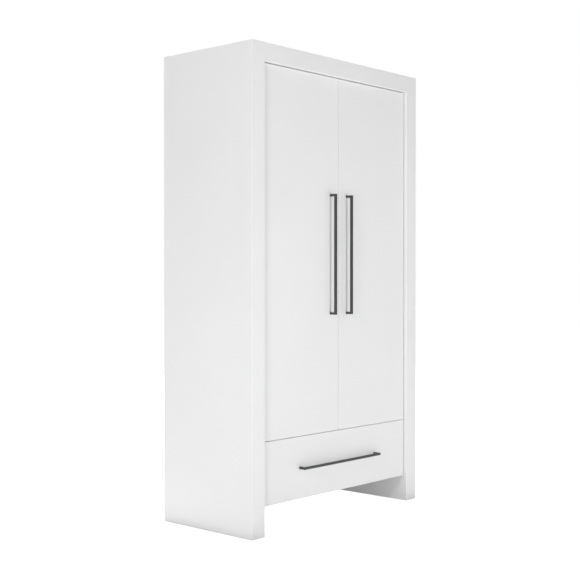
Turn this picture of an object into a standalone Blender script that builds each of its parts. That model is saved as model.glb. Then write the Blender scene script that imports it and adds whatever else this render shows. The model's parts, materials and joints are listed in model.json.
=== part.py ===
"""Two-door wardrobe with a full-width drawer. Metres, +Z up, the fronts face -Y.

The origin is the middle of the bounding box's base. The sides and the top are hollow panels
folded from board, the doors and the drawer front are inset, and each door hangs on three
concealed cup hinges. The drawer runs on a pair of three-part telescopic runners.
"""

import math

import bmesh
import bpy
from mathutils import Matrix, Vector

# Overall sizes
WIDTH = 1.122
HEIGHT = 2.0
CARCASS_DEPTH = 0.526

# Clearances
FIT = 0.0003               # between pieces that touch
WELD = 0.00001             # distance under which points are one
SLIGHT = 0.001             # small step in a turned or bored shape
REVEAL = 0.003             # visible gap between the frame and the fronts
FRONT_GAP = 0.0015         # visible gap between one front and the next
CUT_PAST = 0.01            # how far a cutter reaches past what it cuts

# Hollow sides and top
SIDE_THICKNESS = 0.075
TOP_THICKNESS = 0.076
SHELL_WALL = 0.012
FRAME_ROUNDING = 0.002
SMALL_ROUNDING_SHARE = 0.5
STILE_DEPTH = 0.020
FOOT_BLOCK_HEIGHT = 0.060

# Boards
BOARD = 0.018
BOARD_ROUNDING = 0.0008
BACK_SHEET = 0.003
BACK_SHEET_FROM_MIDDLE = 0.001
BACK_GAP = 0.0016          # from the boards' back edges to the back sheets
BACK_INSET = 0.012         # from the frame's back to the back sheet
GROOVE = 0.006             # how far a sheet sits in its groove
FLOOR_BOARD_Z = 0.385      # middle of the board between the doors and the drawer
BASE_BOARD_BOTTOM = 0.127
FLOOR_SETBACK = 0.007      # from the doors' back to the floor board, which their edge swings past
DIVIDER_SETBACK = 0.004
SHELF_SETBACK = 0.027
LEFT_SHELF_BOTTOMS = (("lower", 0.742), ("middle", 1.072), ("upper", 1.402))
HAT_SHELF_BOTTOM = 1.640

# Strip that joins the two back sheets
STRIP_WEB = 0.0014
STRIP_WIDTH = 0.016
STRIP_LIP = 0.001

# Fronts
FRONT_RECESS = 0.015       # from the frame's front to the doors' faces
FRONT_THICKNESS = 0.018
FRONT_ROUNDING = 0.002
DRAWER_FRONT_BOTTOM = 0.121

# Handles: one square bar folded into a bow, the same on all three fronts
HANDLE_LENGTH = 0.522
HANDLE_BAR = 0.010
HANDLE_PROJECTION = 0.034
HANDLE_ROUNDING = 0.0007
DOOR_HANDLE_X = 0.055      # from the wardrobe's middle

# Hinges, measured from the pin: +X across the door, +Y backwards
HINGE_END_DISTANCE = 0.100
PIN_FROM_DOOR_EDGE = 0.012
PIN_BEHIND_FACE = 0.0085
PIN_RADIUS = 0.0011
PIN_HALF_LENGTH = 0.0142
EYE_RADIUS = 0.0026
EYE_CLEARANCE = 0.0001
CUP_CENTRE_FROM_EDGE = 0.0205
BORE_RADIUS = 0.0175
BORE_DEPTH = 0.0135
CUP_WALL = 0.0008
CUP_FLANGE = 0.019
CUP_FLANGE_THICKNESS = 0.001
CUP_ROUNDING = 0.002
CUP_RIM_CHAMFER = 0.0003
CUP_STEPS = 24
EAR_OFFSET = 0.0095        # of the two screws from the cup's middle
EAR_SPACING = 0.045
EAR_RADIUS = 0.006
EAR_THICKNESS = 0.0008
SCREW_HOLE_RADIUS = 0.0022
ARM_NECK = ((0.0, 0.0), (0.014, 0.0035), (0.016, 0.016), (-0.005, 0.0335))
ARM_NECK_THICKNESS = 0.002
ARM_NECK_WIDTH = 0.010
ARM_BEND_RADIUS = 0.0025
ARM_BODY_Y = (0.0295, 0.0835)
ARM_BODY_WIDTH = 0.016
ARM_BODY_RISE = 0.009
ARM_BODY_WALL = 0.0015
ARM_BODY_ROUNDING = 0.0012
PLATE_THICKNESS = 0.003
PLATE_Y = (0.036, 0.078)
PLATE_WING_Y = (0.050, 0.062)
PLATE_WING_HEIGHT = 0.046

# Drawer box and runners
RUNNER_SPACE = 0.0133      # between the carcass and the drawer box, each side
RUNNER_LENGTH = 0.450
RUNNER_Z = 0.235
RUNNER_WALL = 0.0014
RUNNER_SECTIONS = {        # web, ends of the flanges and half height, from the carcass inwards
    "outer": (FIT, 0.0098, 0.0225),
    "middle": (0.0026, 0.0103, 0.0204),
    "inner": (RUNNER_SPACE - FIT, 0.0050, 0.0183),
}
DRAWER_BOARD = 0.015
DRAWER_SIDE_Z = (0.160, 0.340)
DRAWER_BOTTOM_Z = (0.170, 0.180)

# Clothes rail
RAIL_RADIUS = 0.0125
RAIL_WALL = 0.0012
RAIL_DROP = 0.065          # of its axis below the hat shelf
SOCKET_BASE = 0.003
SOCKET_DEPTH = 0.014
SOCKET_RADIUS = 0.022
SOCKET_WALL = 0.002

# Glides
GLIDE_HEIGHT = 0.002
GLIDE_RADIUS = 0.012
GLIDE_STEM_RADIUS = 0.004
GLIDE_STEM_LENGTH = 0.020
GLIDE_Y = 0.195
GLIDE_CHAMFER = 0.0006

# Places that follow from the sizes above
HANDLE_PROUD = HANDLE_PROJECTION - FRONT_RECESS
FRAME_FRONT_Y = HANDLE_PROUD - (CARCASS_DEPTH + HANDLE_PROUD) / 2
FRAME_BACK_Y = FRAME_FRONT_Y + CARCASS_DEPTH
FACE_Y = FRAME_FRONT_Y + FRONT_RECESS
FACE_BACK_Y = FACE_Y + FRONT_THICKNESS
INNER_X = WIDTH / 2 - SIDE_THICKNESS
TOP_UNDERSIDE = HEIGHT - TOP_THICKNESS
BACK_SHEET_Y = FRAME_BACK_Y - BACK_INSET - BACK_SHEET
FLOOR_TOP = FLOOR_BOARD_Z + BOARD / 2
FLOOR_BOTTOM = FLOOR_BOARD_Z - BOARD / 2
BASE_TOP = BASE_BOARD_BOTTOM + BOARD
DRAWER_FRONT_TOP = FLOOR_BOARD_Z - FRONT_GAP / 2
DOOR_BOTTOM = FLOOR_BOARD_Z + FRONT_GAP / 2
DOOR_TOP = TOP_UNDERSIDE - REVEAL
DOOR_MIDDLE_Z = (DOOR_BOTTOM + DOOR_TOP) / 2
DOOR_OUTER_X = INNER_X - REVEAL
DOOR_INNER_X = FRONT_GAP / 2
PIN_X = DOOR_OUTER_X - PIN_FROM_DOOR_EDGE
PIN_Y = FACE_Y + PIN_BEHIND_FACE
HINGE_HEIGHTS = (
    ("lower", DOOR_BOTTOM + HINGE_END_DISTANCE),
    ("middle", DOOR_MIDDLE_Z),
    ("upper", DOOR_TOP - HINGE_END_DISTANCE),
)
SIDES = (("left", -1), ("right", 1))
SMOOTH_ANGLE = math.radians(35)

# Turns a shape drawn in the local XY plane
UPRIGHT = Matrix.Rotation(math.pi / 2, 4, "X")                 # into the XZ plane
SIDEWAYS = Matrix(((0, 0, 1, 0), (1, 0, 0, 0), (0, 1, 0, 0), (0, 0, 0, 1)))   # into the YZ plane
FACE_BACK = Matrix.Rotation(-math.pi / 2, 4, "X")              # its Z axis to +Y
FACE_RIGHT = Matrix.Rotation(math.pi / 2, 4, "Y")              # its Z axis to +X


def clear_scene():
    for old in list(bpy.data.objects):
        bpy.data.objects.remove(old, do_unlink=True)


def new_collection(name):
    collection = bpy.data.collections.new(name)
    bpy.context.scene.collection.children.link(collection)
    return collection


def finish(name, colour, roughness, metallic=0.0):
    """The values of one finish, from which each piece makes its own material."""
    return {"name": name, "colour": colour, "roughness": roughness, "metallic": metallic}


LACQUER = finish("white_lacquer", (0.83, 0.83, 0.82), 0.45)
BOARD_WHITE = finish("white_board", (0.80, 0.80, 0.79), 0.55)
HARDBOARD = finish("white_hardboard", (0.76, 0.76, 0.75), 0.6)
ANTHRACITE = finish("anthracite_metal", (0.045, 0.046, 0.05), 0.5, 0.6)
NICKEL = finish("nickel_steel", (0.62, 0.61, 0.59), 0.3, 1.0)
ZINC = finish("zinc_steel", (0.55, 0.56, 0.58), 0.35, 1.0)
CHROME = finish("chrome", (0.78, 0.78, 0.79), 0.12, 1.0)
PLASTIC = finish("white_plastic", (0.75, 0.75, 0.74), 0.5)


def material_for(piece_name, look):
    material = bpy.data.materials.new(f"{piece_name}_{look['name']}")
    material.use_nodes = True
    shader = material.node_tree.nodes["Principled BSDF"]
    shader.inputs["Base Color"].default_value = (*look["colour"], 1.0)
    shader.inputs["Roughness"].default_value = look["roughness"]
    shader.inputs["Metallic"].default_value = look["metallic"]
    return material


def place(name, mesh, look, location, parent=None):
    """A piece of the wardrobe. Location is in the wardrobe's frame, also under a parent."""
    piece = bpy.data.objects.new(name, mesh)
    parts.objects.link(piece)
    if not mesh.materials:
        mesh.materials.append(None)
    piece.material_slots[0].link = "OBJECT"
    piece.material_slots[0].material = material_for(name, look)
    piece.location = location
    if parent:
        piece.parent = parent
        piece.location = Vector(location) - parent.location
    return piece


def pivot(name, location):
    empty = bpy.data.objects.new(name, None)
    empty.location = location
    parts.objects.link(empty)
    return empty


def helper(name, mesh_or_curve):
    """An object for cutting or joining, which is no piece itself."""
    made = bpy.data.objects.new(name, mesh_or_curve)
    made.hide_render = True
    made.display_type = "WIRE"
    cutters.objects.link(made)
    return made


def block_mesh(name, low, high):
    """A closed block between two corners."""
    low, high = Vector(low), Vector(high)
    size = Matrix.Diagonal((*(high - low), 1.0))
    shape = bmesh.new()
    bmesh.ops.create_cube(shape, size=1.0, matrix=Matrix.Translation((low + high) / 2) @ size)
    mesh = bpy.data.meshes.new(name)
    shape.to_mesh(mesh)
    shape.free()
    return mesh


def rod_mesh(name, radius, low, high, steps, turn=Matrix.Identity(4)):
    """A closed cylinder on the local Z axis from low to high, then turned."""
    shape = bmesh.new()
    middle = Matrix.Translation((0, 0, (low + high) / 2))
    bmesh.ops.create_cone(
        shape, cap_ends=True, segments=steps, radius1=radius, radius2=radius,
        depth=high - low, matrix=turn @ middle,
    )
    mesh = bpy.data.meshes.new(name)
    shape.to_mesh(mesh)
    shape.free()
    return mesh


def baked(source, turn=Matrix.Identity(4)):
    """The evaluated shape of a helper as one clean mesh. The helper is removed."""
    bpy.context.view_layer.update()
    evaluated = source.evaluated_get(bpy.context.evaluated_depsgraph_get())
    mesh = bpy.data.meshes.new_from_object(evaluated)
    mesh.transform(turn @ source.matrix_world)
    shape = bmesh.new()
    shape.from_mesh(mesh)
    bmesh.ops.remove_doubles(shape, verts=shape.verts, dist=WELD)
    bmesh.ops.dissolve_limit(shape, angle_limit=0.001, verts=shape.verts, edges=shape.edges)
    bmesh.ops.recalc_face_normals(shape, faces=shape.faces)
    shape.to_mesh(mesh)
    shape.free()
    mesh.name = source.name
    bpy.data.objects.remove(source)
    return mesh


def prism_mesh(name, outline, thickness, turn=Matrix.Identity(4)):
    """A flat outline with its thickness to both sides of the local XY plane, then turned."""
    curve = bpy.data.curves.new(name, "CURVE")
    curve.dimensions = "2D"
    curve.fill_mode = "BOTH"
    curve.extrude = thickness / 2
    spline = curve.splines.new("POLY")
    spline.points.add(len(outline) - 1)
    for point, (x, y) in zip(spline.points, outline):
        point.co = (x, y, 0.0, 1.0)
    spline.use_cyclic_u = True
    return baked(helper(name, curve), turn)


def turned_mesh(name, profile, steps, closed=False, turn=Matrix.Identity(4)):
    """A turned shape round the local Z axis, from (radius, height) pairs, then turned."""
    count = len(profile)
    edges = [(i, (i + 1) % count) for i in range(count if closed else count - 1)]
    mesh = bpy.data.meshes.new(name)
    mesh.from_pydata([(radius, 0.0, height) for radius, height in profile], edges, [])
    source = helper(name, mesh)
    screw = source.modifiers.new("turn", "SCREW")
    screw.steps = steps
    screw.render_steps = steps
    screw.use_merge_vertices = True
    screw.merge_threshold = WELD
    return baked(source, turn)


def joined_mesh(name, base, steps):
    """The base mesh after a list of Boolean steps, each an operation and a mesh."""
    source = helper(name, base)
    others = []
    for number, (operation, mesh) in enumerate(steps):
        other = helper(f"{name}_{number}", mesh)
        boolean = source.modifiers.new(f"step_{number}", "BOOLEAN")
        boolean.operation = operation
        boolean.object = other
        others.append(other)
    mesh = baked(source)
    for other in others:
        bpy.data.objects.remove(other)
    return mesh


def cut(piece, cutter, operation="DIFFERENCE"):
    boolean = piece.modifiers.new(cutter.name, "BOOLEAN")
    boolean.operation = operation
    boolean.object = cutter


def round_edges(piece, width, segments=2):
    bevel = piece.modifiers.new("rounded_edges", "BEVEL")
    bevel.width = width
    bevel.segments = segments
    bevel.limit_method = "ANGLE"
    return bevel


def board(name, low, high, look, rounding=BOARD_ROUNDING, segments=1, parent=None):
    """A board between two corners, with its edges eased and its origin at its middle."""
    low, high = Vector(low), Vector(high)
    middle = (low + high) / 2
    piece = place(name, block_mesh(name, low - middle, high - middle), look, middle, parent)
    if rounding:
        round_edges(piece, rounding, segments)
    return piece


def arc(centre, radius, start, end, steps):
    """Points on an arc, angles in degrees."""
    angles = [math.radians(start + (end - start) * i / steps) for i in range(steps + 1)]
    return [(centre[0] + radius * math.cos(a), centre[1] + radius * math.sin(a)) for a in angles]


def bent(path, radius, steps=3):
    """The path with its corners replaced by short curves."""
    points = [Vector(path[0])]
    for before, corner, after in zip(path, path[1:], path[2:]):
        corner = Vector(corner)
        into = (Vector(before) - corner).normalized() * radius
        out = (Vector(after) - corner).normalized() * radius
        for i in range(steps + 1):
            t = i / steps
            points.append(corner + into * (1 - t) ** 2 + out * t ** 2)
    points.append(Vector(path[-1]))
    return points


def ribbon(points, thickness):
    """The outline of a strip of even thickness along a path."""
    left, right = [], []
    for i, point in enumerate(points):
        before = (point - points[i - 1]).normalized() if i else None
        after = (points[i + 1] - point).normalized() if i + 1 < len(points) else None
        onward = after or before
        along = ((before or after) + onward).normalized()
        across = Vector((-along.y, along.x))
        half = thickness / 2 / max(across.dot(Vector((-onward.y, onward.x))), 0.5)
        left.append(tuple(point + across * half))
        right.append(tuple(point - across * half))
    return left + right[::-1]


def channel_outline(web, flange_end, half_height, thickness):
    """A C section: its web starts at x = web and its two flanges reach flange_end."""
    step = thickness if flange_end > web else -thickness
    inner = half_height - thickness
    return [
        (web, -half_height), (flange_end, -half_height), (flange_end, -inner),
        (web + step, -inner), (web + step, inner), (flange_end, inner),
        (flange_end, half_height), (web, half_height),
    ]


def frame_mesh():
    """The whole folded frame, sides and top in one, with the weights of its rounded edges."""
    half = WIDTH / 2
    outline = [
        (-half, GLIDE_HEIGHT), (-half, HEIGHT), (half, HEIGHT), (half, GLIDE_HEIGHT),
        (INNER_X, GLIDE_HEIGHT), (INNER_X, TOP_UNDERSIDE),
        (-INNER_X, TOP_UNDERSIDE), (-INNER_X, GLIDE_HEIGHT),
    ]
    mesh = prism_mesh("folded_frame", outline, CARCASS_DEPTH, UPRIGHT)
    mesh.transform(Matrix.Translation((0, (FRAME_FRONT_Y + FRAME_BACK_Y) / 2, 0)))
    weights = mesh.attributes.new("bevel_weight_edge", "FLOAT", "EDGE")
    for edge in mesh.edges:
        ends = [mesh.vertices[i].co for i in edge.vertices]
        at_front = all(abs(end.y - FRAME_FRONT_Y) < WELD for end in ends)
        at_top = all(abs(end.z - HEIGHT) < WELD for end in ends)
        inside_corner = all(abs(end.z - TOP_UNDERSIDE) < WELD for end in ends) and not at_front
        lies_deep = abs(ends[0].y - ends[1].y) > WELD
        share = 1.0 if at_front or at_top else SMALL_ROUNDING_SHARE
        weights.data[edge.index].value = 0.0 if inside_corner and lies_deep else share
    return mesh


def build_frame():
    """The two hollow sides and the hollow top, with what closes their backs and feet."""
    mesh = frame_mesh()
    half = WIDTH / 2
    wall_x = (INNER_X + SHELL_WALL, half - SHELL_WALL)
    cavity_front = FRAME_FRONT_Y + SHELL_WALL
    past_back = FRAME_BACK_Y + CUT_PAST
    top_cavity = helper("top_cavity", block_mesh(
        "top_cavity",
        (-wall_x[1], cavity_front, TOP_UNDERSIDE + SHELL_WALL),
        (wall_x[1], past_back, HEIGHT - SHELL_WALL),
    ))
    groove = helper("back_groove", block_mesh(
        "back_groove",
        (-INNER_X - GROOVE - FIT, BACK_SHEET_Y - FIT, BASE_BOARD_BOTTOM - FIT),
        (INNER_X + GROOVE + FIT, BACK_SHEET_Y + BACK_SHEET + FIT, TOP_UNDERSIDE + GROOVE + FIT),
    ))
    top_region = helper("top_region", block_mesh(
        "top_region", (-WIDTH, -WIDTH, TOP_UNDERSIDE), (WIDTH, WIDTH, HEIGHT * 2),
    ))
    top = place("top_shell", mesh, LACQUER, (0, 0, 0))
    shells = [(top, top_cavity, top_region)]
    for side, sign in SIDES:
        low_x, high_x = sorted((sign * wall_x[0], sign * wall_x[1]))
        cavity = helper(f"{side}_cavity", block_mesh(
            f"{side}_cavity",
            (low_x, cavity_front, -CUT_PAST), (high_x, past_back, TOP_UNDERSIDE + CUT_PAST),
        ))
        region = helper(f"{side}_region", block_mesh(
            f"{side}_region",
            (min(0, sign * WIDTH), -WIDTH, -WIDTH),
            (max(0, sign * WIDTH), WIDTH, TOP_UNDERSIDE - FIT),
        ))
        shell = place(f"{side}_side_shell", mesh, LACQUER, (0, 0, 0))
        shells.append((shell, cavity, region))
        build_side_fill(side, low_x + FIT, high_x - FIT)
    for shell, cavity, region in shells:
        bevel = round_edges(shell, FRAME_ROUNDING, 3)
        bevel.limit_method = "WEIGHT"
        cut(shell, cavity)
        cut(shell, groove)
        cut(shell, region, "INTERSECT")
    board(
        "top_rear_rail",
        (-wall_x[1] + FIT, FRAME_BACK_Y - STILE_DEPTH, TOP_UNDERSIDE + SHELL_WALL + FIT),
        (wall_x[1] - FIT, FRAME_BACK_Y, HEIGHT - SHELL_WALL - FIT),
        BOARD_WHITE,
    )


def build_side_fill(side, low_x, high_x):
    """The rear stile that closes a hollow side, its foot block and the two glides in that."""
    stile_front = FRAME_BACK_Y - STILE_DEPTH
    board(
        f"{side}_rear_stile",
        (low_x, stile_front, GLIDE_HEIGHT),
        (high_x, FRAME_BACK_Y, TOP_UNDERSIDE - FIT),
        BOARD_WHITE,
    )
    block = board(
        f"{side}_foot_block",
        (low_x, FRAME_FRONT_Y + SHELL_WALL + FIT, GLIDE_HEIGHT),
        (high_x, stile_front - FIT, GLIDE_HEIGHT + FOOT_BLOCK_HEIGHT),
        BOARD_WHITE,
    )
    for end, y in (("front", -GLIDE_Y), ("rear", GLIDE_Y)):
        centre = ((low_x + high_x) / 2, y, 0.0)
        stem_top = GLIDE_HEIGHT + GLIDE_STEM_LENGTH
        hole = helper(f"{side}_{end}_glide_hole", rod_mesh(
            "glide_hole", GLIDE_STEM_RADIUS + FIT, -CUT_PAST, stem_top + SLIGHT, 16,
        ))
        hole.location = centre
        cut(block, hole)
        rim = GLIDE_HEIGHT - FIT
        profile = [
            (0, stem_top), (GLIDE_STEM_RADIUS, stem_top), (GLIDE_STEM_RADIUS, rim),
            (GLIDE_RADIUS, rim), (GLIDE_RADIUS, GLIDE_CHAMFER),
            (GLIDE_RADIUS - GLIDE_CHAMFER, 0), (0, 0),
        ]
        mesh = turned_mesh("glide", profile, 24)
        place(f"{side}_{end}_glide", mesh, PLASTIC, centre)


def build_interior():
    """The fixed boards, the shelves and the back."""
    edge = INNER_X - FIT
    floor_back = BACK_SHEET_Y - BACK_GAP
    shelf_back = BACK_SHEET_Y - FIT
    board(
        "floor_board",
        (-edge, FACE_BACK_Y + FLOOR_SETBACK, FLOOR_BOTTOM), (edge, floor_back, FLOOR_TOP),
        BOARD_WHITE,
    )
    board(
        "base_board",
        (-edge, FACE_BACK_Y + DIVIDER_SETBACK, BASE_BOARD_BOTTOM), (edge, floor_back, BASE_TOP),
        BOARD_WHITE,
    )
    divider_x = BOARD / 2
    board(
        "centre_partition",
        (-divider_x, FACE_BACK_Y + DIVIDER_SETBACK, FLOOR_TOP + FIT),
        (divider_x, floor_back, TOP_UNDERSIDE - FIT),
        BOARD_WHITE,
    )
    shelf_front = FACE_BACK_Y + SHELF_SETBACK
    for level, bottom in LEFT_SHELF_BOTTOMS:
        board(
            f"{level}_shelf",
            (-edge, shelf_front, bottom), (-divider_x - FIT, shelf_back, bottom + BOARD),
            BOARD_WHITE,
        )
    board(
        "hat_shelf",
        (divider_x + FIT, shelf_front, HAT_SHELF_BOTTOM),
        (edge, shelf_back, HAT_SHELF_BOTTOM + BOARD),
        BOARD_WHITE,
    )
    for side, sign in SIDES:
        near, far = sign * BACK_SHEET_FROM_MIDDLE, sign * (INNER_X + GROOVE)
        board(
            f"{side}_back_sheet",
            (min(near, far), BACK_SHEET_Y, BASE_BOARD_BOTTOM),
            (max(near, far), BACK_SHEET_Y + BACK_SHEET, TOP_UNDERSIDE + GROOVE),
            HARDBOARD, rounding=0,
        )
    build_joining_strip()


def build_joining_strip():
    """The H section that holds the two back sheets edge to edge."""
    web, reach, lip = STRIP_WEB / 2, STRIP_WIDTH / 2, STRIP_LIP
    face = BACK_SHEET / 2 + FIT
    outline = [
        (-reach, -face - lip), (reach, -face - lip), (reach, -face), (web, -face),
        (web, face), (reach, face), (reach, face + lip), (-reach, face + lip),
        (-reach, face), (-web, face), (-web, -face), (-reach, -face),
    ]
    low, high = BASE_BOARD_BOTTOM, TOP_UNDERSIDE - FIT
    mesh = prism_mesh("joining_strip", outline, high - low)
    middle = (0, BACK_SHEET_Y + BACK_SHEET / 2, (low + high) / 2)
    place("back_joining_strip", mesh, PLASTIC, middle)


def build_clothes_rail():
    """A round tube across the right bay, its ends in two sockets."""
    low_x, high_x = BOARD / 2 + FIT, INNER_X - FIT
    y = (FACE_BACK_Y + BACK_SHEET_Y) / 2
    z = HAT_SHELF_BOTTOM - RAIL_DROP
    inner = RAIL_RADIUS + FIT
    socket = turned_mesh("socket", [
        (0, SOCKET_BASE), (inner, SOCKET_BASE), (inner, SOCKET_DEPTH),
        (inner + SOCKET_WALL, SOCKET_DEPTH), (inner + SOCKET_WALL, SOCKET_BASE + SLIGHT),
        (SOCKET_RADIUS, SOCKET_BASE - SLIGHT), (SOCKET_RADIUS, 0), (0, 0),
    ], 28, turn=FACE_RIGHT)
    place("left_rail_socket", socket, CHROME, (low_x, y, z))
    place("right_rail_socket", socket, CHROME, (high_x, y, z)).scale.x = -1
    half = (high_x - low_x) / 2 - SOCKET_BASE - FIT
    tube = turned_mesh("tube", [
        (RAIL_RADIUS, half), (RAIL_RADIUS, -half),
        (RAIL_RADIUS - RAIL_WALL, -half), (RAIL_RADIUS - RAIL_WALL, half),
    ], 28, closed=True, turn=FACE_RIGHT)
    place("clothes_rail", tube, CHROME, ((low_x + high_x) / 2, y, z))


def hinge_cup_mesh():
    """The cup that sits in the door, with its flange, its two screw ears and its pin."""
    centre_x = CUP_CENTRE_FROM_EDGE - PIN_FROM_DOOR_EDGE
    door_back = FRONT_THICKNESS - PIN_BEHIND_FACE
    bore_floor = door_back - BORE_DEPTH
    outer = BORE_RADIUS - FIT
    inner = outer - CUP_WALL
    bottom = bore_floor + FIT
    inside = bottom + CUP_WALL
    under = door_back + FIT
    top = under + CUP_FLANGE_THICKNESS
    soften = CUP_ROUNDING
    rim = CUP_RIM_CHAMFER
    bowl = turned_mesh("bowl", [
        (0, inside), (inner - soften, inside), (inner - soften * 0.3, inside + soften * 0.3),
        (inner, inside + soften), (inner, top), (CUP_FLANGE - rim, top),
        (CUP_FLANGE, top - rim), (CUP_FLANGE, under), (outer, under),
        (outer, bottom + SLIGHT), (outer - SLIGHT, bottom), (0, bottom),
    ], CUP_STEPS, turn=FACE_BACK)
    bowl.transform(Matrix.Translation((centre_x, 0, 0)))
    straight = EAR_SPACING / 2
    outline = arc((0, straight), EAR_RADIUS, 0, 180, 8)
    outline += arc((0, -straight), EAR_RADIUS, 180, 360, 8)
    ears = prism_mesh("ears", outline, EAR_THICKNESS, UPRIGHT)
    ears.transform(Matrix.Translation((centre_x + EAR_OFFSET, (under + top) / 2, 0)))
    through = (under - CUT_PAST, top + CUT_PAST)
    mouth = rod_mesh("mouth", inner + CUP_WALL / 2, *through, CUP_STEPS, FACE_BACK)
    mouth.transform(Matrix.Translation((centre_x, 0, 0)))
    steps = [("DIFFERENCE", mouth)]
    for height in (-straight, straight):
        hole = rod_mesh("hole", SCREW_HOLE_RADIUS, *through, 12, FACE_BACK)
        hole.transform(Matrix.Translation((centre_x + EAR_OFFSET, 0, height)))
        steps.append(("DIFFERENCE", hole))
    ears = joined_mesh("pierced_ears", ears, steps)
    pin = rod_mesh("pin", PIN_RADIUS, -PIN_HALF_LENGTH, PIN_HALF_LENGTH, 12)
    return joined_mesh("hinge_cup", bowl, [("UNION", ears), ("UNION", pin)])


def hinge_arm_mesh():
    """The fixed arm: an eye round the pin, a swan neck out of the cup, and a hollow body."""
    neck = prism_mesh(
        "neck", ribbon(bent(ARM_NECK, ARM_BEND_RADIUS), ARM_NECK_THICKNESS), ARM_NECK_WIDTH,
    )
    half = ARM_NECK_WIDTH / 2
    eye = rod_mesh("eye", EYE_RADIUS, -half, half, 20)
    past = half + CUT_PAST
    pin_hole = rod_mesh("pin_hole", PIN_RADIUS + EYE_CLEARANCE, -past, past, 16)
    wall_x = -(REVEAL + PIN_FROM_DOOR_EDGE)
    low_x = wall_x + FIT + PLATE_THICKNESS + FIT
    high_x = low_x + ARM_BODY_RISE
    reach = ARM_BODY_WIDTH / 2
    body = block_mesh(
        "arm_body", (low_x, ARM_BODY_Y[0], -reach), (high_x, ARM_BODY_Y[1], reach),
    )
    source = helper("arm_body", body)
    round_edges(source, ARM_BODY_ROUNDING, 2)
    body = baked(source)
    inside = reach - ARM_BODY_WALL
    hollow = block_mesh(
        "hollow",
        (low_x - CUT_PAST, ARM_BODY_Y[0] + ARM_BODY_WALL, -inside),
        (high_x - ARM_BODY_WALL, ARM_BODY_Y[1] - ARM_BODY_WALL, inside),
    )
    return joined_mesh("hinge_arm", body, [
        ("DIFFERENCE", hollow), ("UNION", neck), ("UNION", eye), ("DIFFERENCE", pin_hole),
    ])


def hinge_plate_mesh():
    """The cross-shaped plate that holds the arm on the side panel."""
    half = ARM_BODY_WIDTH / 2
    wing = PLATE_WING_HEIGHT / 2
    outline = [
        (PLATE_Y[0], -half), (PLATE_WING_Y[0], -half), (PLATE_WING_Y[0], -wing),
        (PLATE_WING_Y[1], -wing), (PLATE_WING_Y[1], -half), (PLATE_Y[1], -half),
        (PLATE_Y[1], half), (PLATE_WING_Y[1], half), (PLATE_WING_Y[1], wing),
        (PLATE_WING_Y[0], wing), (PLATE_WING_Y[0], half), (PLATE_Y[0], half),
    ]
    mesh = prism_mesh("plate", outline, PLATE_THICKNESS, SIDEWAYS)
    wall_x = -(REVEAL + PIN_FROM_DOOR_EDGE)
    mesh.transform(Matrix.Translation((wall_x + FIT + PLATE_THICKNESS / 2, 0, 0)))
    return mesh


def handle_mesh():
    """A bow of square bar: the bar along local X, its two posts reaching +Y to the front."""
    half = HANDLE_LENGTH / 2
    inside = half - HANDLE_BAR
    outline = [
        (-half, -HANDLE_PROJECTION), (half, -HANDLE_PROJECTION), (half, -FIT), (inside, -FIT),
        (inside, HANDLE_BAR - HANDLE_PROJECTION), (-inside, HANDLE_BAR - HANDLE_PROJECTION),
        (-inside, -FIT), (-half, -FIT),
    ]
    source = helper("handle", prism_mesh("handle", outline, HANDLE_BAR))
    round_edges(source, HANDLE_ROUNDING, 2)
    return baked(source)


def build_doors(handle):
    """Each door with its cups and handle under an empty on its hinge axis."""
    cup, arm, plate = hinge_cup_mesh(), hinge_arm_mesh(), hinge_plate_mesh()
    for side, sign in SIDES:
        axis = pivot(f"{side}_door_axis", (sign * PIN_X, PIN_Y, DOOR_MIDDLE_Z))
        low_x, high_x = sorted((sign * DOOR_INNER_X, sign * DOOR_OUTER_X))
        door = board(
            f"{side}_door",
            (low_x, FACE_Y, DOOR_BOTTOM), (high_x, FACE_BACK_Y, DOOR_TOP),
            LACQUER, FRONT_ROUNDING, 3, axis,
        )
        cup_x = sign * (DOOR_OUTER_X - CUP_CENTRE_FROM_EDGE)
        for level, height in HINGE_HEIGHTS:
            bore = helper(f"{side}_{level}_bore", rod_mesh(
                "bore", BORE_RADIUS, 0, BORE_DEPTH + CUT_PAST, CUP_STEPS, FACE_BACK,
            ))
            bore.location = (cup_x, FACE_BACK_Y - BORE_DEPTH, height)
            cut(door, bore)
            at = (sign * PIN_X, PIN_Y, height)
            place(f"{side}_{level}_hinge_cup", cup, NICKEL, at, axis).scale.x = -sign
            place(f"{side}_{level}_hinge_arm", arm, NICKEL, at).scale.x = -sign
            place(f"{side}_{level}_hinge_plate", plate, NICKEL, at).scale.x = -sign
        grip = place(
            f"{side}_door_handle", handle, ANTHRACITE,
            (sign * DOOR_HANDLE_X, FACE_Y, DOOR_MIDDLE_Z), axis,
        )
        grip.rotation_euler.y = math.pi / 2


def build_runners(drawer):
    """Outer, middle and inner member of the telescopic runner on each side."""
    y = FACE_BACK_Y + DIVIDER_SETBACK + RUNNER_LENGTH / 2
    middle_stage = pivot("runner_middle_slide", (0, y, RUNNER_Z))
    parents = {"outer": None, "middle": middle_stage, "inner": drawer}
    for member, (web, flange_end, half_height) in RUNNER_SECTIONS.items():
        outline = channel_outline(web, flange_end, half_height, RUNNER_WALL)
        mesh = prism_mesh(f"runner_{member}", outline, RUNNER_LENGTH, UPRIGHT)
        for side, sign in SIDES:
            at = (sign * INNER_X, y, RUNNER_Z)
            piece = place(f"{side}_runner_{member}", mesh, ZINC, at, parents[member])
            piece.scale.x = -sign


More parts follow.
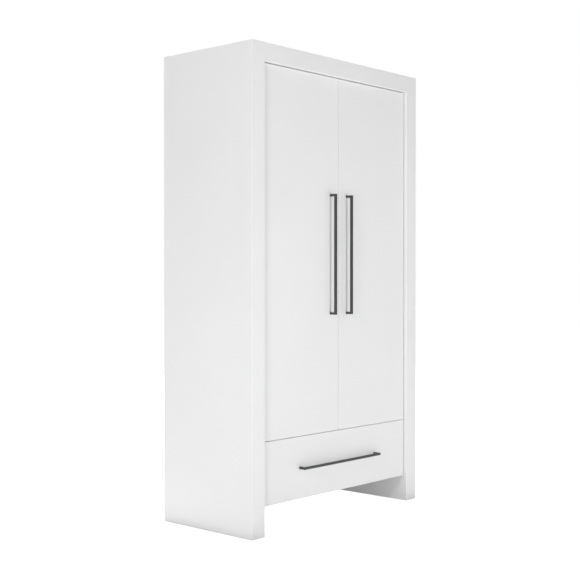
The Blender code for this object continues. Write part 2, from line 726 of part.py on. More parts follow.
def build_drawer(handle):
    """The drawer's front, its box and its handle under an empty on its slide."""
    slide = pivot("drawer_slide", (0, FACE_Y, RUNNER_Z))
    board(
        "drawer_front",
        (-DOOR_OUTER_X, FACE_Y, DRAWER_FRONT_BOTTOM),
        (DOOR_OUTER_X, FACE_BACK_Y, DRAWER_FRONT_TOP),
        LACQUER, FRONT_ROUNDING, 3, slide,
    )
    outer_x = INNER_X - RUNNER_SPACE
    inner_x = outer_x - DRAWER_BOARD
    front_y = FACE_BACK_Y + FIT
    back_y = front_y + RUNNER_LENGTH
    groove = helper("drawer_groove", block_mesh(
        "drawer_groove",
        (-inner_x - GROOVE - FIT, front_y - CUT_PAST, DRAWER_BOTTOM_Z[0] - FIT),
        (inner_x + GROOVE + FIT, back_y + CUT_PAST, DRAWER_BOTTOM_Z[1] + FIT),
    ))
    for side, sign in SIDES:
        low_x, high_x = sorted((sign * inner_x, sign * outer_x))
        panel = board(
            f"{side}_drawer_side",
            (low_x, front_y, DRAWER_SIDE_Z[0]), (high_x, back_y, DRAWER_SIDE_Z[1]),
            BOARD_WHITE, parent=slide,
        )
        cut(panel, groove)
    board(
        "drawer_bottom",
        (-inner_x - GROOVE, front_y, DRAWER_BOTTOM_Z[0]),
        (inner_x + GROOVE, back_y, DRAWER_BOTTOM_Z[1]),
        HARDBOARD, rounding=0, parent=slide,
    )
    board(
        "drawer_back",
        (-inner_x + FIT, back_y - DRAWER_BOARD, DRAWER_BOTTOM_Z[1] + FIT),
        (inner_x - FIT, back_y, DRAWER_SIDE_Z[1]),
        BOARD_WHITE, parent=slide,
    )
    handle_z = (DRAWER_FRONT_BOTTOM + DRAWER_FRONT_TOP) / 2
    place("drawer_handle", handle, ANTHRACITE, (0, FACE_Y, handle_z), slide)
    return slide


def smooth_round_pieces():
    """Smooth shading on what is turned or bent, with its real edges kept."""
    for piece in parts.objects:
        if piece.type == "MESH":
            piece.data.shade_smooth()
            piece.data.set_sharp_from_angle(angle=SMOOTH_ANGLE)


clear_scene()
parts = new_collection("wardrobe")
cutters = new_collection("cutters")
build_frame()
build_interior()
build_clothes_rail()
bow = handle_mesh()
build_doors(bow)
build_runners(build_drawer(bow))
smooth_round_pieces()
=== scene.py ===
"""Looks of the white two-door wardrobe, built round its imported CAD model."""

import json
import math

import bmesh
import bpy
from mathutils import Matrix, Vector


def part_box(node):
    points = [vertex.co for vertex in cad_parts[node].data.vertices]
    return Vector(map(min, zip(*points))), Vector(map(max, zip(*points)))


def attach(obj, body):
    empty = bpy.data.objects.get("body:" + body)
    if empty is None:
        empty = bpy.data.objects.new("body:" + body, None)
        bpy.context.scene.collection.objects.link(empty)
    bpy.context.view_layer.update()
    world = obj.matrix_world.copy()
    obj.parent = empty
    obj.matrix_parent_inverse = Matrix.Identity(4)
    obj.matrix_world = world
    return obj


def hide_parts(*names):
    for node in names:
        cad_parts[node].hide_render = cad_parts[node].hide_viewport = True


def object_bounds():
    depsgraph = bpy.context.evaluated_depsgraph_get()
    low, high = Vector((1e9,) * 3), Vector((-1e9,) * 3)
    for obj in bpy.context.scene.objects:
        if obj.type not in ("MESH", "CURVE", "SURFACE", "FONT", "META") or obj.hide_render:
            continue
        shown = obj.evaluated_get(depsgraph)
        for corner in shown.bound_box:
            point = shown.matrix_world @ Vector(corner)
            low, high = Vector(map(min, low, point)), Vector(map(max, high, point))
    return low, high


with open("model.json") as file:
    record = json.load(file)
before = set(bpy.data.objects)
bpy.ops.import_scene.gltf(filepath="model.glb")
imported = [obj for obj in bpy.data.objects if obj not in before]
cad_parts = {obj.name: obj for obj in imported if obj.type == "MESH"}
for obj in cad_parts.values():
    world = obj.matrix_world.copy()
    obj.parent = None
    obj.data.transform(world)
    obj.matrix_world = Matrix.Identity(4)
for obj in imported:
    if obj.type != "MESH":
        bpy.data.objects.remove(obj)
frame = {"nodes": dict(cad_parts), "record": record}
cad_low, cad_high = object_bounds()
nodes = frame["nodes"]

# Camera, in metres from the foot of the frame's front left edge
CAMERA_OFFSET = Vector((-3.0776, -2.9643, 1.0408))
CAMERA_YAW = math.radians(48.1)
CAMERA_PITCH = math.radians(-0.515)
CAMERA_LENS = 66.605
CAMERA_SENSOR = 36.0

SMOOTH_ANGLE = math.radians(35)     # a sharper edge stays sharp
FLAT_ANGLE = 0.001                  # faces that turn less are one flat face
WELD = 0.00001                      # points that are nearer are one point
SIDES = (("left", -1), ("right", 1))
LEVELS = ("lower", "middle", "upper")

# Places of the small fittings, in metres
HIDDEN = 0.0001                 # how far an underside sits in what it is on
EAR_FROM_FLANGE = 0.0285        # a hinge cup's screws, from the cup flange's outer rim
EAR_RADIUS = 0.006
PLATE_SCREW_FROM_END = 0.006
PLATE_SCREW_FORWARD = 0.001     # of the plate's middle
ARM_HEIGHT = 0.0093             # of a hinge arm above its plate
ARM_SCREW_SHARES = (0.22, 0.85)
POST_MIDDLE = 0.005             # from a handle's end
PIN_RADIUS = 0.003
PIN_ROW_INSET = 0.037           # from the shelf's front and back edges
HOLE_PITCH = 0.032
HOLES_BELOW = 5                 # the lowest shelf's pins
HOLES_IN_ROW = 31
HOLE_MARGIN = 0.004             # round what would cover a hole
CAP_INSET = 0.034               # from a board's ends
CAP_FROM_EDGE = 0.06            # from its front and back edges
BUFFER_X = 0.0055               # from the middle of the partition
BUFFER_INSET = 0.03             # from the ends of the doors and of the base board
RUNNER_WALL = 0.0014
RUNNER_SCREW_SHARES = (0.08, 0.45, 0.9)
SOCKET_SCREW_FROM_RIM = 0.0035
SOCKET_FACE = 0.0029            # of a rail socket's screws, from the wall
NAIL_INSET = 0.03               # from the back sheet's sides
NAILS_ACROSS = 6
DRAWER_SCREW_INSET = 0.03       # from the drawer side's top and bottom

# Screw heads, as radius and height
CUP_SCREW = (0.0036, 0.0012)
PLATE_SCREW = (0.0034, 0.0011)
ARM_SCREW = (0.0036, 0.0009)
HANDLE_SCREW = (0.0045, 0.0021)
RUNNER_SCREWS = (
    ("outer", "carcass", (0.0034, 0.0005)),
    ("inner", "drawer", (0.0034, 0.0007)),
)
SOCKET_SCREW = (0.0026, 0.0011)
DRAWER_SCREW = (0.0036, 0.001)

# Other turned fittings, as radius and height above what they are on
SHELF_PIN = (
    (0, -HIDDEN), (0.0042, -HIDDEN), (0.0042, 0.0008), (0.0038, 0.0012), (PIN_RADIUS, 0.0014),
    (PIN_RADIUS, 0.0078), (0.0026, 0.0088), (0.0012, 0.0092), (0, 0.0092),
)
# A pin hole drawn as a flat dark disc: painted shade in place of the hole's depth
PIN_HOLE_SHADE_DISC = ((0, HIDDEN), (0.0022, HIDDEN), (0.0025, 0.0002), (0.0029, 0.0002), (0.0031, -HIDDEN))
CAM_CAP = (
    (0, -HIDDEN), (0.0088, -HIDDEN), (0.0088, 0.0005), (0.0082, 0.0010), (0.0060, 0.0012),
    (0.0056, 0.0010), (0.0052, 0.0012), (0, 0.0013),
)
BUFFER = (
    (0, -HIDDEN), (0.0030, -HIDDEN), (0.0030, 0.0022), (0.0026, 0.0031), (0.0016, 0.0036),
    (0, 0.0037),
)
NAIL = (
    (0, -HIDDEN), (0.0024, -HIDDEN), (0.0024, 0.0003), (0.0020, 0.0006), (0.0008, 0.0008),
    (0, 0.0008),
)

WEAVE_PITCH = 0.0016            # of the wire marks on hardboard
WAVE_RADIANS = 20               # that Blender's wave texture turns in a metre at scale 1

# Studio: the sky's light by the sine of the height above the horizon, the backdrop's level
# and the floor's least glow as the camera sees them, the glow that lights the wardrobe from
# the floor (from and to, in metres out from the wardrobe, and how much it changes between
# them), and the softboxes (name, place, target, size, power)
SKY_BANDS = ((0.0, 0.4), (0.27, 0.4), (0.36, 0.04), (0.62, 0.04), (0.74, 0.2))
BACKDROP_LEVEL = 1.0
FLOOR_LEVEL = 0.88
FLOOR_REACH = 30.0
NEAR_GLOW = (0.0, 0.07, 0.6)
FAR_GLOW = (0.5, 2.2, -0.06)
SOFTBOXES = (
    ("behind", (3.0, 6.0, 2.6), (0.2, 0.2, 1.0), (2.4, 2.4), 130.0),
    ("key", (-0.15, -3.8, 1.0), (0.25, -0.24, 0.85), (0.38, 1.7), 43.0),
    ("side", (-8.0, -2.9, 4.2), (-0.2, 0.0, 0.7), (1.5, 1.5), 149.0),
    ("low_side", (-4.6, -1.4, 0.6), (-0.4, 0.0, 0.6), (2.6, 1.0), 48.0),
    ("overhead", (0.0, 1.1, 4.4), (0.0, 0.2, 2.0), (1.0, 1.5), 62.0),
)


# ---------------------------------------------------------------- materials

class Graph:
    """A material's node tree, with short calls for what every finish needs."""

    def __init__(self, name, colour, roughness, metallic=0.0):
        self.material = bpy.data.materials.new(name)
        self.material.use_nodes = True
        self.tree = self.material.node_tree
        self.shader = self.tree.nodes["Principled BSDF"]
        self.shader.inputs["Base Color"].default_value = (*colour, 1.0)
        self.shader.inputs["Roughness"].default_value = roughness
        self.shader.inputs["Metallic"].default_value = metallic
        self.coordinates = self.add("ShaderNodeTexCoord")

    def add(self, kind, **settings):
        node = self.tree.nodes.new(kind)
        for name, value in settings.items():
            setattr(node, name, value)
        return node

    def link(self, source, target):
        self.tree.links.new(source, target)

    def stretched(self, scale):
        mapping = self.add("ShaderNodeMapping")
        mapping.inputs["Scale"].default_value = scale
        self.link(self.coordinates.outputs["Object"], mapping.inputs["Vector"])
        return mapping.outputs["Vector"]

    def noise(self, scale, detail=2.0, roughness=0.5, stretch=(1, 1, 1)):
        texture = self.add("ShaderNodeTexNoise")
        texture.inputs["Scale"].default_value = scale
        texture.inputs["Detail"].default_value = detail
        texture.inputs["Roughness"].default_value = roughness
        self.link(self.stretched(stretch), texture.inputs["Vector"])
        return texture.outputs["Fac"]

    def cells(self, scale, stretch=(1, 1, 1)):
        texture = self.add("ShaderNodeTexVoronoi")
        texture.inputs["Scale"].default_value = scale
        self.link(self.stretched(stretch), texture.inputs["Vector"])
        return texture

    def waves(self, pitch, axis):
        """Even ridges across an axis."""
        texture = self.add("ShaderNodeTexWave", bands_direction=axis)
        texture.inputs["Scale"].default_value = 2 * math.pi / (WAVE_RADIANS * pitch)
        self.link(self.coordinates.outputs["Object"], texture.inputs["Vector"])
        return texture.outputs["Fac"]

    def facing(self, axis):
        """How far the surface faces along an axis of the wardrobe, from -1 to 1."""
        split = self.add("ShaderNodeSeparateXYZ")
        self.link(self.coordinates.outputs["Normal"], split.inputs[0])
        return split.outputs[axis]

    def ramp(self, source, low, high, from_low=0.3, from_high=0.7):
        """The source between two numbers."""
        node = self.add("ShaderNodeMapRange")
        node.inputs["From Min"].default_value = from_low
        node.inputs["From Max"].default_value = from_high
        node.inputs["To Min"].default_value = low
        node.inputs["To Max"].default_value = high
        self.link(source, node.inputs["Value"])
        return node.outputs["Result"]

    def blend(self, factor, first, second):
        """Two colours, or colour outputs, mixed by a factor."""
        node = self.add("ShaderNodeMix", data_type="RGBA")
        self.link(factor, node.inputs[0])
        for socket, value in ((node.inputs[6], first), (node.inputs[7], second)):
            if isinstance(value, tuple):
                socket.default_value = (*value, 1.0)
            else:
                self.link(value, socket)
        return node.outputs[2]

    def combine(self, operation, first, second):
        node = self.add("ShaderNodeMath", operation=operation)
        for socket, value in zip(node.inputs, (first, second)):
            if isinstance(value, (int, float)):
                socket.default_value = value
            else:
                self.link(value, socket)
        return node.outputs[0]

    def tint(self, texture, first, second):
        """The base colour between two colours, by a texture."""
        self.colour(self.blend(self.ramp(texture, 0.0, 1.0), first, second))

    def colour(self, source):
        self.link(source, self.shader.inputs["Base Color"])

    def roughness(self, source):
        self.link(source, self.shader.inputs["Roughness"])

    def relief(self, layers):
        """Bumps, one behind the other, each a height, a distance in metres and a strength."""
        last = None
        for height, distance, strength in layers:
            bump = self.add("ShaderNodeBump")
            bump.inputs["Distance"].default_value = distance
            bump.inputs["Strength"].default_value = strength
            self.link(height, bump.inputs["Height"])
            if last:
                self.link(last, bump.inputs["Normal"])
            last = bump.outputs["Normal"]
        self.link(last, self.shader.inputs["Normal"])


def lacquer_material():
    """Sprayed satin lacquer: a faint orange peel, and slow drifts in tone and gloss."""
    look = Graph("white_lacquer_finish", (0.77, 0.77, 0.77), 0.42)
    look.tint(look.noise(1.7, 3.0), (0.757, 0.757, 0.764), (0.782, 0.782, 0.781))
    look.roughness(look.ramp(look.noise(9.0, 4.0, 0.6), 0.38, 0.47))
    look.relief([(look.noise(260.0, 2.0), 0.00012, 0.25), (look.noise(14.0, 1.0), 0.0005, 0.05)])
    return look.material


def board_material():
    """White melamine with a fine print, and smoother plastic tape on the front edges."""
    look = Graph("white_board_finish", (0.77, 0.77, 0.76), 0.5)
    taped = look.ramp(look.facing("Y"), 0.0, 1.0, -0.8, -0.95)
    grain = look.ramp(look.noise(900.0, 3.0), 0.0, 1.0)
    face = look.blend(grain, (0.742, 0.742, 0.731), (0.789, 0.789, 0.78))
    tape = look.blend(grain, (0.778, 0.779, 0.774), (0.79, 0.791, 0.787))
    look.colour(look.blend(taped, face, tape))
    gloss = look.ramp(look.noise(30.0, 3.0), 0.48, 0.6)
    look.roughness(look.combine("SUBTRACT", gloss, look.combine("MULTIPLY", taped, 0.14)))
    look.relief([
        (look.noise(1400.0, 2.0), 0.00008, 0.3),
        (look.noise(60.0, 2.0, stretch=(1, 1, 0.2)), 0.0002, 0.06),
    ])
    return look.material


def hardboard_material():
    """Painted hardboard: fibrous on its face, with the press's wire weave on its back."""
    look = Graph("white_hardboard_finish", (0.74, 0.74, 0.72), 0.62)
    outside = look.ramp(look.facing("Y"), 0.0, 1.0, 0.8, 0.95)
    fibre = look.noise(420.0, 5.0, 0.7, (1, 1, 2.5))
    face = look.blend(look.ramp(fibre, 0.0, 1.0), (0.71, 0.71, 0.69), (0.765, 0.765, 0.75))
    back = look.blend(look.ramp(fibre, 0.0, 1.0), (0.64, 0.63, 0.6), (0.73, 0.72, 0.69))
    look.colour(look.blend(outside, face, back))
    look.roughness(look.ramp(fibre, 0.55, 0.72))
    weave = look.combine("ADD", look.waves(WEAVE_PITCH, "X"), look.waves(WEAVE_PITCH, "Z"))
    look.relief([
        (look.combine("MULTIPLY", weave, outside), 0.00025, 0.6),
        (fibre, 0.0001, 0.4),
    ])
    return look.material


def powder_coat_material():
    """Anthracite powder coat: a fine even pebbling and a satin gloss."""
    look = Graph("anthracite_metal_finish", (0.037, 0.038, 0.041), 0.42)
    look.tint(look.noise(1500.0, 2.0), (0.032, 0.033, 0.036), (0.043, 0.044, 0.047))
    look.roughness(look.ramp(look.noise(45.0, 3.0), 0.36, 0.48))
    look.relief([(look.noise(1300.0, 2.0), 0.0001, 0.45), (look.noise(350.0, 1.0), 0.00015, 0.15)])
    return look.material


def nickel_material():
    """Pressed and plated steel: rolling marks under a soft gloss, with small dull patches."""
    look = Graph("nickel_steel_finish", (0.62, 0.61, 0.59), 0.3, 1.0)
    marks = look.noise(500.0, 4.0, 0.6, (1, 1, 0.06))
    look.tint(marks, (0.57, 0.56, 0.54), (0.66, 0.65, 0.63))
    patches = look.ramp(look.noise(120.0, 3.0), -0.04, 0.06)
    look.roughness(look.combine("ADD", look.ramp(marks, 0.24, 0.36), patches))
    look.relief([(marks, 0.00003, 0.35), (look.noise(900.0, 2.0), 0.00002, 0.2)])
    return look.material


def zinc_material():
    """Bright zinc on rolled strip: long streaks along its length and a faint crystal bloom."""
    look = Graph("zinc_steel_finish", (0.55, 0.56, 0.58), 0.36, 1.0)
    bloom = look.cells(260.0).outputs["Color"]
    streaks = look.noise(700.0, 4.0, 0.6, (1, 0.02, 1))
    toned = look.blend(look.ramp(streaks, 0.0, 1.0), (0.5, 0.51, 0.53), (0.6, 0.61, 0.63))
    node = look.add("ShaderNodeMix", data_type="RGBA", blend_type="SOFT_LIGHT")
    node.inputs[0].default_value = 0.18
    look.link(toned, node.inputs[6])
    look.link(bloom, node.inputs[7])
    look.colour(node.outputs[2])
    look.roughness(look.ramp(streaks, 0.3, 0.44))
    look.relief([(streaks, 0.00004, 0.35)])
    return look.material


def chrome_material():
    """Polished chrome, with its mirror broken by faint wipe marks and handling."""
    look = Graph("chrome_finish", (0.78, 0.78, 0.79), 0.1, 1.0)
    wipes = look.noise(60.0, 5.0, 0.65, (0.15, 1, 1))
    look.tint(wipes, (0.74, 0.745, 0.755), (0.8, 0.8, 0.805))
    look.roughness(look.ramp(wipes, 0.06, 0.17, 0.4, 0.75))
    look.relief([(look.noise(35.0, 2.0), 0.00005, 0.05)])
    return look.material


def plastic_material():
    """Moulded plastic with a spark-eroded grain."""
    look = Graph("white_plastic_finish", (0.75, 0.75, 0.74), 0.45)
    grain = look.noise(1800.0, 3.0)
    look.tint(grain, (0.725, 0.725, 0.712), (0.77, 0.77, 0.762))
    look.roughness(look.ramp(look.noise(200.0, 2.0), 0.4, 0.52))
    look.relief([(grain, 0.00005, 0.4)])
    return look.material


def painted_hole_shade_material():
    """Painted shade for a small bored hole: a dark colour in place of the shadow in its depth,
    with the particleboard's grain at its rim.
    """
    look = Graph("painted_hole_shade_finish", (0.1, 0.09, 0.08), 0.9)
    grain = look.noise(2500.0, 2.0)
    look.tint(grain, (0.05, 0.045, 0.04), (0.16, 0.14, 0.12))
    look.relief([(grain, 0.0002, 0.6)])
    return look.material


FINISHES = {
    "white_lacquer": lacquer_material(),
    "white_board": board_material(),
    "white_hardboard": hardboard_material(),
    "anthracite_metal": powder_coat_material(),
    "nickel_steel": nickel_material(),
    "zinc_steel": zinc_material(),
    "chrome": chrome_material(),
    "white_plastic": plastic_material(),
}

slot_of = {part["node"]: part["material_slot"] for part in frame["record"]["subparts"]}


def shade_evenly(piece):
    """Smooth shading across rounded edges only, with flat faces left flat."""
    piece.data.shade_smooth()
    piece.modifiers.new("joined_corners", "WELD").merge_threshold = WELD
    piece.modifiers.new("real_edges", "EDGE_SPLIT").split_angle = SMOOTH_ANGLE
    piece.modifiers.new("even_shading", "WEIGHTED_NORMAL").weight = 100


def dress_cad_nodes():
    """Every CAD node in the finish of its slot."""
    for name, node in nodes.items():
        node.data.materials.clear()
        node.data.materials.append(FINISHES[slot_of[name]])
        shade_evenly(node)


# ---------------------------------------------------------------- small pieces

def stand_on(place, direction):
    """A matrix that stands the local Z axis on a place, along a direction."""
    turn = Vector(direction).to_track_quat("Z", "Y").to_matrix().to_4x4()
    return Matrix.Translation(place) @ turn


def add_turned(shape, profile, steps, matrix):
    """Adds a turned form to a bmesh. The profile holds (radius, height). Where a point has
    a third number, its ring keeps its radius only on the four arms of a cross, and elsewhere
    it has that share of it."""
    rings = []
    for radius, height, *pull in profile:
        if radius == 0:
            rings.append([shape.verts.new(matrix @ Vector((0, 0, height)))] * steps)
            continue
        ring = []
        for i in range(steps):
            reach = radius if not pull or i % (steps // 4) == 0 else radius * pull[0]
            angle = 2 * math.pi * i / steps
            point = Vector((reach * math.cos(angle), reach * math.sin(angle), height))
            ring.append(shape.verts.new(matrix @ point))
        rings.append(ring)
    for low, high in zip(rings, rings[1:]):
        for i in range(steps):
            j = (i + 1) % steps
            corners = list(dict.fromkeys((low[i], low[j], high[j], high[i])))
            if len(corners) > 2:
                shape.faces.new(corners)


def add_piece(name, body, slot_name, shape):
    """Makes a piece from a bmesh, which it frees."""
    bmesh.ops.recalc_face_normals(shape, faces=shape.faces)
    mesh = bpy.data.meshes.new(name)
    shape.to_mesh(mesh)
    shape.free()
    mesh.shade_smooth()
    mesh.set_sharp_from_angle(angle=SMOOTH_ANGLE)
    mesh.materials.append(FINISHES[slot_name])
    piece = bpy.data.objects.new(name, mesh)
    bpy.context.scene.collection.objects.link(piece)
    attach(piece, body)
    return piece


def add_turned_group(name, body, slot_name, profile, stands, steps=16):
    """One piece made of the same turned form at each (place, direction)."""
    shape = bmesh.new()
    for place, direction in stands:
        add_turned(shape, profile, steps, stand_on(place, direction))
    return add_piece(name, body, slot_name, shape)


def screw_profile(radius, height):
    """A low domed head with a cross recess, from its hidden underside up."""
    return (
        (0, -HIDDEN), (radius, -HIDDEN), (radius, height * 0.25), (radius * 0.93, height * 0.6),
        (radius * 0.72, height * 0.9), (radius * 0.62, height),
        (radius * 0.58, height * 0.98, 0.45), (radius * 0.4, height * 0.3, 0.45),
        (0, height * 0.25),
    )


def close_frame_seams():
    """The sides and the top as one sprayed frame: copies whose joints are filled and sanded."""
    top_low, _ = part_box("top_shell")
    for name in ("left_side", "right_side", "top"):
        shape = bmesh.new()
        shape.from_mesh(nodes[f"{name}_shell"].data)
        bmesh.ops.remove_doubles(shape, verts=shape.verts, dist=WELD)
        _, node_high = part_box(f"{name}_shell")
        if name != "top":
            for corner in shape.verts:
                if abs(corner.co.z - node_high.z) < WELD:
                    corner.co.z = top_low.z
        bmesh.ops.dissolve_limit(
            shape, angle_limit=FLAT_ANGLE, verts=shape.verts, edges=shape.edges,
        )
        panel = add_piece(f"{name}_panel", "carcass", "white_lacquer", shape)
        shade_evenly(panel)
        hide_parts(f"{name}_shell")


def add_hinge_screws():
    """Two screws in each cup's ears, two in each plate's wings and two on each arm."""
    plate_stands, arm_stands = [], []
    for side, sign in SIDES:
        cup_stands = []
        for level in LEVELS:
            low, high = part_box(f"{side}_{level}_hinge_cup")
            middle = (low + high) / 2
            outer_x = max(abs(low.x), abs(high.x))
            ear_x = sign * (outer_x - EAR_FROM_FLANGE)
            reach = (high.z - low.z) / 2 - EAR_RADIUS
            for up in (-reach, reach):
                cup_stands.append(((ear_x, high.y, middle.z + up), (0, 1, 0)))
            low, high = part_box(f"{side}_{level}_hinge_plate")
            face_x = sign * min(abs(low.x), abs(high.x))
            reach = (high.z - low.z) / 2 - PLATE_SCREW_FROM_END
            for up in (-reach, reach):
                at = (face_x, (low.y + high.y) / 2 - PLATE_SCREW_FORWARD, middle.z + up)
                plate_stands.append((at, (-sign, 0, 0)))
            for share in ARM_SCREW_SHARES:
                at = (face_x - sign * ARM_HEIGHT, low.y + (high.y - low.y) * share, middle.z)
                arm_stands.append((at, (-sign, 0, 0)))
        add_turned_group(
            f"{side}_cup_screws", f"{side}_door_leaf", "nickel_steel",
            screw_profile(*CUP_SCREW), cup_stands,
        )
    add_turned_group(
        "plate_screws", "carcass", "nickel_steel", screw_profile(*PLATE_SCREW), plate_stands,
    )
    add_turned_group(
        "arm_screws", "carcass", "nickel_steel", screw_profile(*ARM_SCREW), arm_stands,
    )


def add_handle_screws():
    """The screws through the doors and the drawer front that hold the handles' posts."""
    for side, _ in SIDES:
        low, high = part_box(f"{side}_door_handle")
        _, door_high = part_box(f"{side}_door")
        x = (low.x + high.x) / 2
        heights = (low.z + POST_MIDDLE, high.z - POST_MIDDLE)
        stands = [((x, door_high.y, z), (0, 1, 0)) for z in heights]
        add_turned_group(
            f"{side}_handle_screws", f"{side}_door_leaf", "zinc_steel",
            screw_profile(*HANDLE_SCREW), stands, 20,
        )
    low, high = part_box("drawer_handle")
    _, front_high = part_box("drawer_front")
    z = (low.z + high.z) / 2
    ends = (low.x + POST_MIDDLE, high.x - POST_MIDDLE)
    stands = [((x, front_high.y, z), (0, 1, 0)) for x in ends]
    add_turned_group(
        "drawer_handle_screws", "drawer", "zinc_steel",
        screw_profile(*HANDLE_SCREW), stands, 20,
    )


def add_shelf_pins():
    """Four pins under each shelf, two in the frame's side and two in the partition."""
    left_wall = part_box("left_side_shell")[1].x
    right_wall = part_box("right_side_shell")[0].x
    partition_low, partition_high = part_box("centre_partition")
    left_shelves = [f"{level}_shelf" for level in LEVELS]
    for name, wall_x, inner_x, outward, shelves in (
        ("left_bay_shelf_pins", left_wall, partition_low.x, -1, left_shelves),
        ("hat_shelf_pins", right_wall, partition_high.x, 1, ["hat_shelf"]),
    ):
        stands = []
        for shelf in shelves:
            low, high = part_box(shelf)
            for y in (low.y + PIN_ROW_INSET, high.y - PIN_ROW_INSET):
                stands.append(((wall_x, y, low.z - PIN_RADIUS), (-outward, 0, 0)))
                stands.append(((inner_x, y, low.z - PIN_RADIUS), (outward, 0, 0)))
        add_turned_group(name, "carcass", "nickel_steel", SHELF_PIN, stands)


def add_pin_hole_shades():
    """The left bay's rows of shelf-pin bores, drawn as flat dark discs: painted shade in place of
    each bore's depth. None sits where a shelf or a hinge plate covers it.
    """
    shelves = [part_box(f"{level}_shelf") for level in LEVELS]
    plates = [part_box(f"left_{level}_hinge_plate") for level in LEVELS]
    walls = (
        (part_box("left_side_shell")[1].x, (1, 0, 0), shelves + plates),
        (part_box("centre_partition")[0].x, (-1, 0, 0), shelves),
    )
    low, high = shelves[0]
    first = low.z - PIN_RADIUS - HOLE_PITCH * HOLES_BELOW
    stands = []
    for i in range(HOLES_IN_ROW):
        z = first + i * HOLE_PITCH
        for x, direction, covers in walls:
            if any(near.z - HOLE_MARGIN < z < far.z + HOLE_MARGIN for near, far in covers):
                continue
            for y in (low.y + PIN_ROW_INSET, high.y - PIN_ROW_INSET):
                stands.append(((x, y, z), direction))
    hole_shades = add_turned_group("shelf_pin_hole_shades", "carcass", "white_board", PIN_HOLE_SHADE_DISC, stands, 12)
    # The discs take the painted hole shade in place of the board's finish
    hole_shades.data.materials.clear()
    hole_shades.data.materials.append(painted_hole_shade_material())


def add_cam_covers():
    """The caps over the cam fittings of the partition and the hat shelf."""
    low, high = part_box("centre_partition")
    stands = []
    for z in (low.z + CAP_INSET, high.z - CAP_INSET):
        for y in (low.y + CAP_FROM_EDGE, high.y - CAP_FROM_EDGE):
            stands.append(((high.x, y, z), (1, 0, 0)))
    low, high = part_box("hat_shelf")
    for x in (low.x + CAP_INSET, high.x - CAP_INSET):
        for y in (low.y + CAP_FROM_EDGE, high.y - CAP_FROM_EDGE):
            stands.append(((x, y, low.z), (0, 0, -1)))
    add_turned_group("cam_covers", "carcass", "white_plastic", CAM_CAP, stands, 24)


def add_buffers():
    """The soft buffers behind the doors and the drawer front."""
    partition_low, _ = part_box("centre_partition")
    door_low, door_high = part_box("left_door")
    stands = [
        ((sign * BUFFER_X, partition_low.y, z), (0, -1, 0))
        for _, sign in SIDES
        for z in (door_low.z + BUFFER_INSET, door_high.z - BUFFER_INSET)
    ]
    low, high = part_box("base_board")
    stands += [
        ((x, low.y, (low.z + high.z) / 2), (0, -1, 0))
        for x in (low.x + BUFFER_INSET, high.x - BUFFER_INSET)
    ]
    add_turned_group("buffers", "carcass", "white_plastic", BUFFER, stands)


def add_runner_screws():
    """Flat heads in the runners' fixed members and in those on the drawer."""
    for member, body, head in RUNNER_SCREWS:
        stands = []
        for side, sign in SIDES:
            low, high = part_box(f"{side}_runner_{member}")
            if member == "outer":
                face_x = sign * (max(abs(low.x), abs(high.x)) - RUNNER_WALL)
                direction = (-sign, 0, 0)
            else:
                face_x = sign * (min(abs(low.x), abs(high.x)) + RUNNER_WALL)
                direction = (sign, 0, 0)
            for share in RUNNER_SCREW_SHARES:
                at = (face_x, low.y + (high.y - low.y) * share, (low.z + high.z) / 2)
                stands.append((at, direction))
        add_turned_group(
            f"runner_{member}_screws", body, "zinc_steel", screw_profile(*head), stands,
        )


def add_rail_screws():
    """Two screws in the base of each socket of the clothes rail."""
    stands = []
    for side, direction in (("left", 1), ("right", -1)):
        low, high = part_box(f"{side}_rail_socket")
        middle = (low + high) / 2
        wall_x = low.x if side == "left" else high.x
        reach = (high.z - low.z) / 2 - SOCKET_SCREW_FROM_RIM
        for up in (-reach, reach):
            at = (wall_x + direction * SOCKET_FACE, middle.y, middle.z + up)
            stands.append((at, (direction, 0, 0)))
    add_turned_group(
        "rail_socket_screws", "carcass", "chrome", screw_profile(*SOCKET_SCREW), stands,
    )


def add_back_nails():
    """Nails through the back sheets into the boards behind them."""
    stands = []
    for side, _ in SIDES:
        low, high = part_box(f"{side}_back_sheet")
        first, last = low.x + NAIL_INSET, high.x - NAIL_INSET
        for board in ("floor_board", "base_board"):
            board_low, board_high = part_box(board)
            z = (board_low.z + board_high.z) / 2
            for i in range(NAILS_ACROSS):
                x = first + (last - first) * i / (NAILS_ACROSS - 1)
                stands.append(((x, high.y, z), (0, 1, 0)))
    add_turned_group("back_nails", "carcass", "zinc_steel", NAIL, stands, 12)


def add_drawer_screws():
    """Screws through the drawer's sides into its back."""
    stands = []
    back_low, back_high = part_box("drawer_back")
    for side, sign in SIDES:
        low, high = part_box(f"{side}_drawer_side")
        face_x = sign * max(abs(low.x), abs(high.x))
        for z in (low.z + DRAWER_SCREW_INSET, high.z - DRAWER_SCREW_INSET):
            stands.append(((face_x, (back_low.y + back_high.y) / 2, z), (sign, 0, 0)))
    add_turned_group(
        "drawer_box_screws", "drawer", "zinc_steel", screw_profile(*DRAWER_SCREW), stands,
    )


# ---------------------------------------------------------------- studio

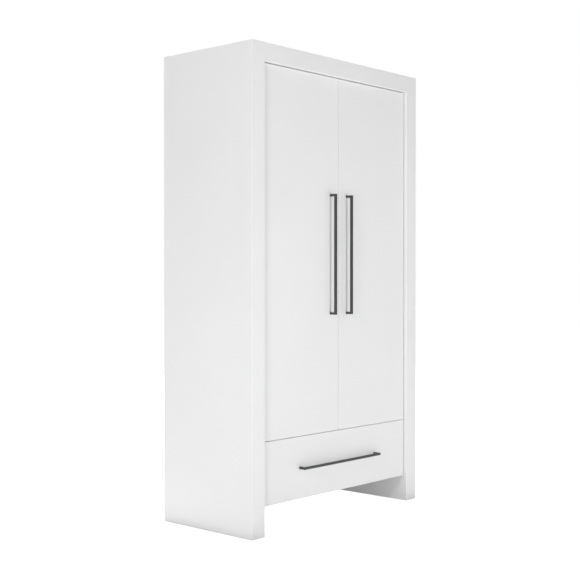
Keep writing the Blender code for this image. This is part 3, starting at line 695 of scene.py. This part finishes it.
def add_world():
    """A sky that is white to the camera, and lights most from low down."""
    world = bpy.data.worlds.new("studio")
    world.use_nodes = True
    tree = world.node_tree
    direction = tree.nodes.new("ShaderNodeTexCoord")
    height = tree.nodes.new("ShaderNodeSeparateXYZ")
    sky = tree.nodes.new("ShaderNodeValToRGB")
    tree.links.new(direction.outputs["Generated"], height.inputs[0])
    tree.links.new(height.outputs["Z"], sky.inputs["Fac"])
    lit_by = tree.nodes.new("ShaderNodeLightPath")
    seen = tree.nodes.new("ShaderNodeMix")
    seen.data_type = "RGBA"
    seen.inputs[7].default_value = (BACKDROP_LEVEL, BACKDROP_LEVEL, BACKDROP_LEVEL, 1.0)
    tree.links.new(lit_by.outputs["Is Camera Ray"], seen.inputs[0])
    tree.links.new(sky.outputs["Color"], seen.inputs[6])
    tree.links.new(seen.outputs[2], tree.nodes["Background"].inputs["Color"])
    bands = sky.color_ramp.elements
    while len(bands) < len(SKY_BANDS):
        bands.new(0.5)
    for band, (position, level) in zip(bands, SKY_BANDS):
        band.position = position
        band.color = (level, level, level, 1.0)
    bpy.context.scene.world = world
    bpy.context.scene.view_settings.view_transform = "Standard"


def add_floor():
    """A pale floor that glows in front of the wardrobe and beside it, but not under it. The
    camera sees all of it nearly as white as the backdrop."""
    mesh = bpy.data.meshes.new("floor")
    mesh.from_pydata(
        [(-FLOOR_REACH, -FLOOR_REACH, 0), (FLOOR_REACH, -FLOOR_REACH, 0),
         (FLOOR_REACH, FLOOR_REACH, 0), (-FLOOR_REACH, FLOOR_REACH, 0)],
        [], [(0, 1, 2, 3)],
    )
    floor = bpy.data.objects.new("floor", mesh)
    bpy.context.scene.collection.objects.link(floor)
    look = Graph("floor_finish", (0.93, 0.93, 0.93), 0.7)
    look.shader.inputs["Specular IOR Level"].default_value = 0.1
    look.shader.inputs["Emission Color"].default_value = (1.0, 1.0, 1.0, 1.0)
    place = look.add("ShaderNodeSeparateXYZ")
    look.link(look.coordinates.outputs["Object"], place.inputs[0])
    aside = look.combine("ABSOLUTE", place.outputs["X"], 0)
    ahead = look.combine("MULTIPLY", place.outputs["Y"], -1)
    distance = look.combine(
        "MAXIMUM",
        look.combine("SUBTRACT", aside, cad_high.x),
        look.combine("SUBTRACT", ahead, cad_high.y),
    )
    glow = look.combine("ADD", *[
        look.ramp(distance, 0.0, strength, start, end)
        for start, end, strength in (NEAR_GLOW, FAR_GLOW)
    ])
    seen = look.add("ShaderNodeLightPath").outputs["Is Camera Ray"]
    strength = look.combine("MAXIMUM", glow, look.combine("MULTIPLY", seen, FLOOR_LEVEL))
    look.link(strength, look.shader.inputs["Emission Strength"])
    mesh.materials.append(look.material)


def add_softbox(name, place, target, size, power):
    """A rectangular lamp at a place, turned to its target and unseen by the camera."""
    light = bpy.data.lights.new(name, "AREA")
    light.shape = "RECTANGLE"
    light.size, light.size_y = size
    light.energy = power
    lamp = bpy.data.objects.new(name, light)
    lamp.location = place
    lamp.rotation_euler = (Vector(target) - Vector(place)).to_track_quat("-Z", "Y").to_euler()
    lamp.visible_camera = False
    bpy.context.scene.collection.objects.link(lamp)


def add_camera():
    """The photograph's camera, placed from the foot of the frame's front left edge."""
    foot_low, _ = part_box("left_side_shell")
    camera_data = bpy.data.cameras.new("camera")
    camera_data.lens = CAMERA_LENS
    camera_data.sensor_width = CAMERA_SENSOR
    camera = bpy.data.objects.new("camera", camera_data)
    camera.location = Vector((foot_low.x, foot_low.y, 0)) + CAMERA_OFFSET
    camera.rotation_euler = (math.pi / 2 + CAMERA_PITCH, 0, -CAMERA_YAW)
    bpy.context.scene.collection.objects.link(camera)
    bpy.context.scene.camera = camera


dress_cad_nodes()
close_frame_seams()
add_hinge_screws()
add_handle_screws()
add_shelf_pins()
add_pin_hole_shades()
add_cam_covers()
add_buffers()
add_runner_screws()
add_rail_screws()
add_back_nails()
add_drawer_screws()
add_world()
add_floor()
for softbox in SOFTBOXES:
    add_softbox(*softbox)
add_camera()
